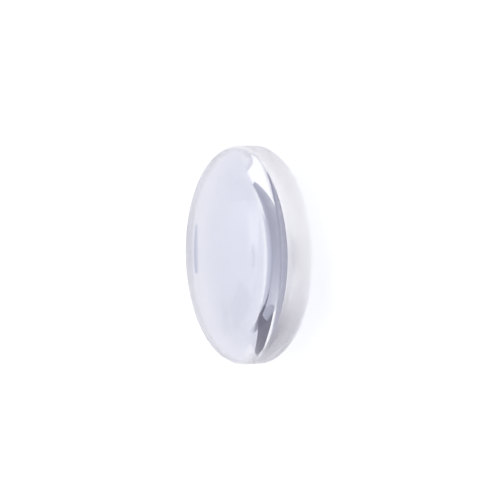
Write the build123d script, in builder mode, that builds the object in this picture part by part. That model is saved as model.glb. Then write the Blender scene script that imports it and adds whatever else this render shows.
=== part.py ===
from build123d import *
import math
import os

# Plano-convex lens for one-inch optics, ground from one piece of crown glass.
# All lengths are in millimetres.
# The frame: the origin is the vertex of the crown, the lowest point of the lens as it lies,
# and +Z runs up the optical axis to the middle of the flat face.

# Driving dimensions
lens_diameter = 25.4     # outside of the ground edge, the one-inch standard
crown_radius = 25.84     # spherical radius of the crown, for a focal length of 50 in glass of index 1.5168
edge_thickness = 3.0     # from the flat face's plane to the rim of the crown, before the bevels
flat_bevel = 0.3         # leg of the 45 degree protective bevel round the flat face
crown_bevel = 0.3        # legs of the bevel round the crown, up the ground edge and in along the crown

# Worked out from the driving dimensions
semi_diameter = lens_diameter / 2
rim_slope = math.degrees(math.asin(semi_diameter / crown_radius))     # how steep the crown is at its sharp rim
crown_sag = crown_radius - math.sqrt(crown_radius**2 - semi_diameter**2)
centre_thickness = crown_sag + edge_thickness

with BuildPart() as lens:
    # The blank: the disc is edged to size and carries the crown's bevel as a cone, which runs on
    # down to the blank's base. Its half section is spun about the optical axis.
    with BuildSketch(Plane.XZ) as half_section:
        with BuildLine() as outline:
            ground_edge = Line((semi_diameter, centre_thickness), (semi_diameter, crown_sag + crown_bevel))
            bevel_cut = PolarLine(
                ground_edge @ 1,
                crown_sag + crown_bevel,
                angle=(rim_slope + 90) / 2 - 180,     # down and inwards, with equal legs on both sides of the sharp rim
                length_mode=LengthMode.VERTICAL,
            )
            Polyline(bevel_cut @ 1, (0, 0), (0, centre_thickness), ground_edge @ 0)
        make_face()
    revolve(axis=Axis.Z)

    # The crown is one exact sphere about its centre of curvature. The sphere is laid with its poles and
    # its seam out to the sides, so that the polished face is a plain patch with a single round edge.
    with Locations((0, 0, crown_radius)):
        Sphere(crown_radius, rotation=(90, 40, 0), mode=Mode.INTERSECT)

    # The other rim gets its narrow bevel too, so that neither chips.
    flat_rim = lens.faces().sort_by(Axis.Z)[-1].outer_wire().edges()
    chamfer(flat_rim, length=flat_bevel)

lens.part.label = "lens"

os.makedirs("parts", exist_ok=True)
export_step(lens.part, "parts/lens.step")

print(f"centre thickness {centre_thickness:.3f} mm, sag {crown_sag:.3f} mm, volume {lens.part.volume:.1f} mm3")
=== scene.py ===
import math
import bpy
import bmesh
from mathutils import Matrix, Vector


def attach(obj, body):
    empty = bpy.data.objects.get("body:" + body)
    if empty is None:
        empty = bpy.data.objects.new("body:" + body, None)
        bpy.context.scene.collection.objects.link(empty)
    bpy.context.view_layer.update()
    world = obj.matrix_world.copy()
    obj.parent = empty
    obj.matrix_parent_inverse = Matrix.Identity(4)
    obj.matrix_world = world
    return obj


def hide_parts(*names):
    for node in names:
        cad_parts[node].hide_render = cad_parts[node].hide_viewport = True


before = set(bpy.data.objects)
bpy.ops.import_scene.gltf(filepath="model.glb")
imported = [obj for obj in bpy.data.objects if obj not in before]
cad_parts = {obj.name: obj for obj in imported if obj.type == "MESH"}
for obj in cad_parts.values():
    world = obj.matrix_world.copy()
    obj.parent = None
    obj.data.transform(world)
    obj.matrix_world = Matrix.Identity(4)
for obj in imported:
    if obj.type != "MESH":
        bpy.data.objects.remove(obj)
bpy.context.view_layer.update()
mm = 0.001  # lengths are written in millimetres, and Blender's are metres


# small helpers for colours, nodes and edit mode

def linear(hexColour):
    channels = [int(hexColour[i:i + 2], 16) / 255 for i in (1, 3, 5)]
    return [c / 12.92 if c <= 0.04045 else ((c + 0.055) / 1.055) ** 2.4 for c in channels] + [1.0]


def newMaterial(name):
    material = bpy.data.materials.new(name)
    material.use_nodes = True
    material.node_tree.nodes.clear()
    return material


def addNode(material, kind, links=None, **settings):
    # adds one node; settings are its properties or input values, links are {input: (node, output)}
    node = material.node_tree.nodes.new(kind)
    for name, value in settings.items():
        if hasattr(node, name):
            setattr(node, name, value)
        else:
            node.inputs[name.replace("_", " ")].default_value = value
    for name, (source, output) in (links or {}).items():
        material.node_tree.links.new(source.outputs[output], node.inputs[name])
    return node


def selectOpenRim():
    # picks the edges that have a face on one side only
    bpy.ops.mesh.select_mode(type="EDGE")
    bpy.ops.mesh.select_all(action="DESELECT")
    bpy.ops.mesh.select_non_manifold()


def raiseRim(rise, radius):
    # pulls the open rim up into a new band and brings it to the radius
    selectOpenRim()
    bpy.ops.mesh.extrude_edges_move(TRANSFORM_OT_translate={"value": (0, 0, rise * mm)})
    mesh = bmesh.from_edit_mesh(bpy.context.object.data)
    rimRadius = max(vert.co.xy.length for vert in mesh.verts if vert.select)
    growth = radius * mm / rimRadius
    bpy.ops.transform.resize(value=(growth, growth, 1), center_override=(0, 0, 0))


# the lens, modelled as it is made: the crown off a sphere, then bevel, edge, bevel and flat face

lensSize = {
    "radius": 12.7,
    "crownRadius": 25.84,
    "edgeThickness": 3.0,  # from the flat face to the crown's sharp rim, before the bevels
    "bevel": 0.3,
    "segments": 256,
    "rings": 250,          # over the whole sphere, so about 40 between the vertex and the rim
    "sharpAngle": 12,      # degrees; the facets of a round face bend less, and the bevels bend more
    "cutTolerance": 0.0001,
    "mergeDistance": 0.001,
}


def paintBands(lens, size, sag, crownRimHeight):
    # slot 0 polished faces, slot 1 ground edge, slot 2 bevels, picked by the height of a face's middle
    top = sag + size["edgeThickness"]
    edgeBottom = sag + size["bevel"]
    edgeTop = top - size["bevel"]
    justUnderTop = top - 0.01  # the flat face's triangles lie above it
    mesh = bmesh.from_edit_mesh(lens.data)
    for face in mesh.faces:
        height = face.calc_center_median().z / mm
        if edgeBottom < height < edgeTop:
            face.material_index = 1
        elif crownRimHeight < height < justUnderTop:
            face.material_index = 2
        else:
            face.material_index = 0
    bmesh.update_edit_mesh(lens.data)


def buildLens(size):
    radius, crownRadius, bevel = size["radius"], size["crownRadius"], size["bevel"]
    sag = crownRadius - math.sqrt(crownRadius**2 - radius**2)
    rimSlope = math.asin(radius / crownRadius)
    crownRimHeight = sag - bevel * math.sin(rimSlope)
    bpy.ops.object.select_all(action="DESELECT")
    bpy.ops.mesh.primitive_uv_sphere_add(
        segments=size["segments"], ring_count=size["rings"],
        radius=crownRadius * mm, location=(0, 0, crownRadius * mm),
    )
    lens = bpy.context.object
    lens.name = lens.data.name = "lens_glass"
    bpy.ops.object.transform_apply(location=True, rotation=True, scale=True)
    bpy.ops.object.mode_set(mode="EDIT")
    bpy.ops.mesh.select_all(action="SELECT")
    bpy.ops.mesh.bisect(
        plane_co=(0, 0, crownRimHeight * mm), plane_no=(0, 0, 1),
        clear_outer=True, threshold=size["cutTolerance"] * mm,
    )
    raiseRim(sag + bevel - crownRimHeight, radius)       # bevel on the crown's side
    raiseRim(size["edgeThickness"] - 2 * bevel, radius)  # ground edge
    raiseRim(bevel, radius - bevel)                      # bevel on the flat side
    selectOpenRim()
    bpy.ops.mesh.edge_face_add()                         # flat face
    bpy.ops.mesh.poke()
    bpy.ops.mesh.select_all(action="SELECT")
    bpy.ops.mesh.remove_doubles(threshold=size["mergeDistance"] * mm)
    bpy.ops.mesh.normals_make_consistent(inside=False)
    paintBands(lens, size, sag, crownRimHeight)
    bpy.ops.object.mode_set(mode="OBJECT")
    bpy.ops.object.shade_smooth_by_angle(angle=math.radians(size["sharpAngle"]))
    return lens


lens = buildLens(lensSize)
print("lens modelled:", len(lens.data.vertices), "vertices")


# crown glass: the faces are polished with pitch and clear, the edge and the bevels are ground and frosted

glassLook = {
    "face": {"tint": "#E6E7EF", "roughness": 0.004},  # clear, with the photograph's faint cool cast
    "edge": {"tint": "#DEDDE2", "roughness": 0.6},    # fine ground, so it looks like frosted white
    "bevel": {"tint": "#EAEAF0", "roughness": 0.25},  # the finest grit, a little brighter than the edge
    "ior": 1.5168,            # crown glass at 587.6 nm
    "wipe": 8.33,             # width of the wiping traces on the polish
    "grain": 0.12,            # the real grit is about 0.015, drawn coarser so that it shows
    "pitDepth": 0.01,
    "roughnessSpread": 0.06,  # how far the grit takes the roughness up and down
}


def polishedGlass(look):
    # a pitch polish leaves nothing to see but a trace of wiping in places, so roughness stays near zero
    material = newMaterial("polished_crown_glass")
    place = addNode(material, "ShaderNodeTexCoord")
    wipe = addNode(material, "ShaderNodeTexNoise", {"Vector": (place, "Object")},
                   Scale=1 / (look["wipe"] * mm), Detail=2.0)
    trace = addNode(material, "ShaderNodeMapRange", {"Value": (wipe, "Fac")},
                    From_Min=0.45, From_Max=0.8, To_Min=0.0, To_Max=look["face"]["roughness"])
    shader = addNode(material, "ShaderNodeBsdfPrincipled", {"Roughness": (trace, "Result")},
                     Base_Color=linear(look["face"]["tint"]), IOR=look["ior"], Transmission_Weight=1.0)
    addNode(material, "ShaderNodeOutputMaterial", {"Surface": (shader, "BSDF")})
    return material


def groundGlass(name, look, part):
    # loose-abrasive grinding leaves an even matt of tiny pits
    roughness, spread = look[part]["roughness"], look["roughnessSpread"]
    material = newMaterial(name)
    place = addNode(material, "ShaderNodeTexCoord")
    grit = addNode(material, "ShaderNodeTexNoise", {"Vector": (place, "Object")},
                   Scale=1 / (look["grain"] * mm), Detail=3.0, Roughness=0.6)
    matt = addNode(material, "ShaderNodeMapRange", {"Value": (grit, "Fac")},
                   From_Min=0.3, From_Max=0.7, To_Min=roughness - spread, To_Max=roughness + spread)
    pits = addNode(material, "ShaderNodeBump", {"Height": (grit, "Fac")},
                   Strength=0.1, Distance=look["pitDepth"] * mm)
    shader = addNode(material, "ShaderNodeBsdfPrincipled",
                     {"Roughness": (matt, "Result"), "Normal": (pits, "Normal")},
                     Base_Color=linear(look[part]["tint"]), IOR=look["ior"], Transmission_Weight=1.0)
    addNode(material, "ShaderNodeOutputMaterial", {"Surface": (shader, "BSDF")})
    return material


lens.data.materials.append(polishedGlass(glassLook))
lens.data.materials.append(groundGlass("fine_ground_edge", glassLook, "edge"))
lens.data.materials.append(groundGlass("ground_bevel", glassLook, "bevel"))
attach(lens, "root")
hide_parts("lens")
print("glass finished")


# the studio's white floor and its soft dome of light

studio = {
    "floorWidth": 6000.0,
    "floorWhite": 0.91,
    "paintedLightUnderLens": 0.99,     # painted light: whiter near the lens, which shades the floor there
    "paintedLightReach": (5.0, 13.0),  # distances from the optical axis over which the painted light fades out
    "skyStrength": 1.3,
}


def buildFloor(look):
    # matt white paint has no gloss, so the lens isn't mirrored in it
    bpy.ops.object.select_all(action="DESELECT")
    bpy.ops.mesh.primitive_plane_add(size=look["floorWidth"] * mm, location=(0, 0, 0))
    floor = bpy.context.object
    floor.name = "studio_floor"
    material = newMaterial("matt_white_floor_painted_lighter_near_lens")
    place = addNode(material, "ShaderNodeTexCoord")
    reach = addNode(material, "ShaderNodeVectorMath", {"Vector": (place, "Object")}, operation="LENGTH")
    # painted light: the white rises towards the lens, to cancel the shade the lens casts
    white = addNode(material, "ShaderNodeMapRange", {"Value": (reach, "Value")},
                    From_Min=look["paintedLightReach"][0] * mm, From_Max=look["paintedLightReach"][1] * mm,
                    To_Min=look["paintedLightUnderLens"], To_Max=look["floorWhite"])
    shader = addNode(material, "ShaderNodeBsdfPrincipled", {"Base Color": (white, "Result")},
                     Roughness=0.9, Specular_IOR_Level=0.0)
    addNode(material, "ShaderNodeOutputMaterial", {"Surface": (shader, "BSDF")})
    floor.data.materials.append(material)


def lightStudio(look):
    world = bpy.data.worlds.new("soft_dome")
    bpy.context.scene.world = world
    world.use_nodes = True
    world.node_tree.nodes.clear()
    sky = addNode(world, "ShaderNodeBackground", Color=[1.0, 1.0, 1.0, 1.0], Strength=look["skyStrength"])
    addNode(world, "ShaderNodeOutputWorld", {"Surface": (sky, "Background")})


buildFloor(studio)
print("floor laid")
lightStudio(studio)


# painted reflections: glowing cards that only the glass sees, mirrored in the crown as the crescent's
# tones

def cardLight(name, light):
    # light is a colour, or a grade of colours along one axis between two places
    material = newMaterial(name)
    if isinstance(light, dict):
        start, end = light["between"]
        place = addNode(material, "ShaderNodeTexCoord")
        parts = addNode(material, "ShaderNodeSeparateXYZ", {"Vector": (place, "Object")})
        along = addNode(material, "ShaderNodeMapRange", {"Value": (parts, light["axis"])},
                        From_Min=start * mm, From_Max=end * mm)
        shades = addNode(material, "ShaderNodeValToRGB", {"Fac": (along, "Result")})
        stops = shades.color_ramp.elements
        while len(stops) < len(light["stops"]):
            stops.new(0.5)
        for stop, (position, colour) in zip(stops, light["stops"]):
            stop.position = position
            stop.color = colour + [1.0]
        glow = addNode(material, "ShaderNodeEmission", {"Color": (shades, "Color")})
    else:
        glow = addNode(material, "ShaderNodeEmission", Color=light + [1.0])
    addNode(material, "ShaderNodeOutputMaterial", {"Surface": (glow, "Emission")})
    return material


def finishCard(card, name, light):
    # the camera and the floor don't see it, and it casts no shadow
    card.name = name
    card.data.materials.append(cardLight(name, light))
    card.visible_camera = False
    card.visible_diffuse = False
    card.visible_shadow = False


def standingCard(name, radius, azimuths, bottom, tops, light):
    # spun round the optical axis from one upright edge; the top runs straight from one height to the other
    start = math.radians(90 - azimuths[0])
    sweep = azimuths[1] - azimuths[0]
    bpy.ops.object.select_all(action="DESELECT")
    bpy.ops.mesh.primitive_plane_add(size=1.0)
    card = bpy.context.object
    bpy.ops.object.mode_set(mode="EDIT")
    mesh = bmesh.from_edit_mesh(card.data)
    bmesh.ops.delete(mesh, geom=list(mesh.verts)[2:], context="VERTS")
    for vert, height in zip(mesh.verts, (bottom, tops[0])):
        vert.co = (radius * mm * math.cos(start), radius * mm * math.sin(start), height * mm)
    bmesh.update_edit_mesh(card.data)
    bpy.ops.mesh.select_all(action="SELECT")
    bpy.ops.mesh.spin(steps=24, angle=math.radians(sweep), center=(0, 0, 0), axis=(0, 0, 1))
    mesh = bmesh.from_edit_mesh(card.data)
    middle = (bottom + tops[0]) / 2 * mm
    for vert in mesh.verts:
        if vert.co.z > middle:
            along = (math.degrees(math.atan2(vert.co.x, vert.co.y)) - azimuths[0]) / sweep
            vert.co.z += (tops[1] - tops[0]) * mm * along
    bmesh.update_edit_mesh(card.data)
    bpy.ops.object.mode_set(mode="OBJECT")
    finishCard(card, name, light)


def lyingCard(name, centre, width, depth, light):
    # painted shadow: lies just above the floor, behind the lens, where only the glass sees it
    lift = 0.05
    bpy.ops.object.select_all(action="DESELECT")
    bpy.ops.mesh.primitive_plane_add(size=1.0, location=(centre[0] * mm, centre[1] * mm, lift * mm))
    card = bpy.context.object
    card.scale = (width * mm, depth * mm, 1)
    bpy.ops.object.transform_apply(location=True, rotation=True, scale=True)
    finishCard(card, name, light)


# painted light and shade of the cards, as linear red, green and blue, because some is brighter than white
# paint
slate = [0.365, 0.375, 0.475]
pale = [0.6, 0.62, 0.71]
dark = [0.17, 0.165, 0.225]
haze = [0.6, 0.6, 0.63]
night = [0.02, 0.02, 0.03]
white = [1.3, 1.3, 1.3]

# azimuths are in degrees, 0 at the far side (+Y) and positive towards +X, which is up in the picture
# painted reflections close round the lens: the grey and dark tones of the crescent's band
nearPaintedReflections = [
    {"name": "painted_reflection_grey_near_left", "radius": 23.0, "azimuths": (-28.0, -7.0),
     "bottom": 0.0, "tops": (2.5, 7.5), "light": slate},
    {"name": "painted_reflection_grey_near", "radius": 23.0, "azimuths": (-7.0, 9.5),
     "bottom": 0.0, "tops": (7.5, 8.0),
     "light": {"axis": "X", "between": (-2.8, 3.8),
               "stops": [(0.0, slate), (0.45, [0.44, 0.45, 0.56]), (1.0, pale)]}},
    {"name": "painted_reflection_pale_near", "radius": 23.0, "azimuths": (9.5, 19.5),
     "bottom": 0.0, "tops": (8.0, 5.5),
     "light": {"axis": "Z", "between": (0.0, 8.0), "stops": [(0.0, [0.54, 0.56, 0.66]), (1.0, pale)]}},
    {"name": "painted_reflection_dark_near", "radius": 24.0, "azimuths": (8.0, 36.0),
     "bottom": 0.0, "tops": (11.0, 9.0), "light": dark},
    {"name": "painted_reflection_dark_near_high", "radius": 24.5, "azimuths": (16.0, 40.0),
     "bottom": 8.0, "tops": (32.0, 32.0), "light": dark},
]

# painted shadow on the floor behind the lens, seen only through the glass
paintedShadowCards = [
    {"name": "painted_shadow_grey", "centre": (0.6, 18.5), "width": 5.6, "depth": 9.0,
     "light": {"axis": "Y", "between": (14.0, 23.0),
               "stops": [(0.0, [0.9, 0.92, 1.0]), (0.12, [0.7, 0.72, 0.82]), (0.5, [0.55, 0.56, 0.67]),
                         (1.0, slate)]}},
    {"name": "painted_shadow_grey_left", "centre": (-6.1, 19.7), "width": 7.8, "depth": 6.4,
     "light": {"axis": "Y", "between": (14.5, 23.0),
               "stops": [(0.0, [0.68, 0.7, 0.8]), (0.6, [0.48, 0.49, 0.6]), (1.0, slate)]}},
    {"name": "painted_shadow_dark", "centre": (8.4, 19.0), "width": 10.0, "depth": 8.0, "light": dark},
]

# painted reflections and highlights far off: the dark patch, the white lobe, and a dark band mirrored in
# the flat face with a bright strip across it
farPaintedReflections = [
    {"name": "painted_reflection_dark_far", "radius": 200.0, "azimuths": (60.0, 71.8),
     "bottom": 17.0, "tops": (286.0, 286.0), "light": dark},
    {"name": "painted_reflection_pale_far", "radius": 200.0, "azimuths": (71.8, 95.0),
     "bottom": 17.0, "tops": (286.0, 286.0), "light": [0.85, 0.85, 0.93]},
    {"name": "painted_reflection_pale_corner", "radius": 200.0, "azimuths": (-80.0, -72.0),
     "bottom": 0.0, "tops": (80.0, 80.0), "light": [0.95, 0.95, 1.0]},
    {"name": "painted_highlight_side", "radius": 210.0, "azimuths": (-88.0, -58.0),
     "bottom": 0.0, "tops": (300.0, 300.0), "light": [1.4, 1.4, 1.4]},
    {"name": "painted_dark_mirror_band", "radius": 2500.0, "azimuths": (-8.0, 8.0),
     "bottom": 1050.0, "tops": (1580.0, 1580.0),
     "light": {"axis": "Z", "between": (1050.0, 1580.0),
               "stops": [(0.0, night), (0.42, night), (0.63, haze), (1.0, haze)]}},
    {"name": "painted_highlight_strip", "radius": 2400.0, "azimuths": (-0.8, 1.3),
     "bottom": 1333.0, "tops": (1353.0, 1353.0),
     "light": {"axis": "X", "between": (-34.0, 54.0),
               "stops": [(0.0, haze), (0.3, white), (0.7, white), (1.0, haze)]}},
]

for card in nearPaintedReflections:
    standingCard(**card)
for card in paintedShadowCards:
    lyingCard(**card)
for card in farPaintedReflections:
    standingCard(**card)
print("studio lit")


# camera at the photograph's angle: the optical axis points left, the flat face towards the camera

cameraSet = {
    "place": (2.45, -172.99, 99.79),
    # where the picture's right, its up, and the way back to the viewer point in the room
    "right": (-0.0174, -0.4838, -0.8750),
    "up": (0.9998, 0.0, -0.0199),
    "back": (0.0096, -0.8752, 0.4837),
    "sensorWidth": 36.0,
    "focalLength": 122.122,
    "clip": (10.0, 100000.0),
}


def placeCamera(look):
    data = bpy.data.cameras.new("camera")
    camera = bpy.data.objects.new("camera", data)
    bpy.context.scene.collection.objects.link(camera)
    axes = [Vector(look[name]).normalized() for name in ("right", "up", "back")]
    turn = Matrix(axes).transposed()
    camera.matrix_world = Matrix.Translation(Vector(look["place"]) * mm) @ turn.to_4x4()
    data.sensor_width = look["sensorWidth"]
    data.lens = look["focalLength"]
    data.clip_start, data.clip_end = (distance * mm for distance in look["clip"])
    bpy.context.scene.camera = camera


def tuneRender():
    scene = bpy.context.scene
    scene.view_settings.view_transform = "Standard"
    scene.cycles.use_denoising = True
    scene.cycles.denoising_input_passes = "RGB"  # the guide passes of clear glass are too grainy to use
    scene.cycles.max_bounces = 24
    scene.cycles.glossy_bounces = 16             # a total reflection inside the glass is a glossy bounce
    scene.cycles.transmission_bounces = 24
    scene.cycles.blur_glossy = 0.0
    scene.cycles.sample_clamp_indirect = 0.0


placeCamera(cameraSet)
tuneRender()
print("camera placed")
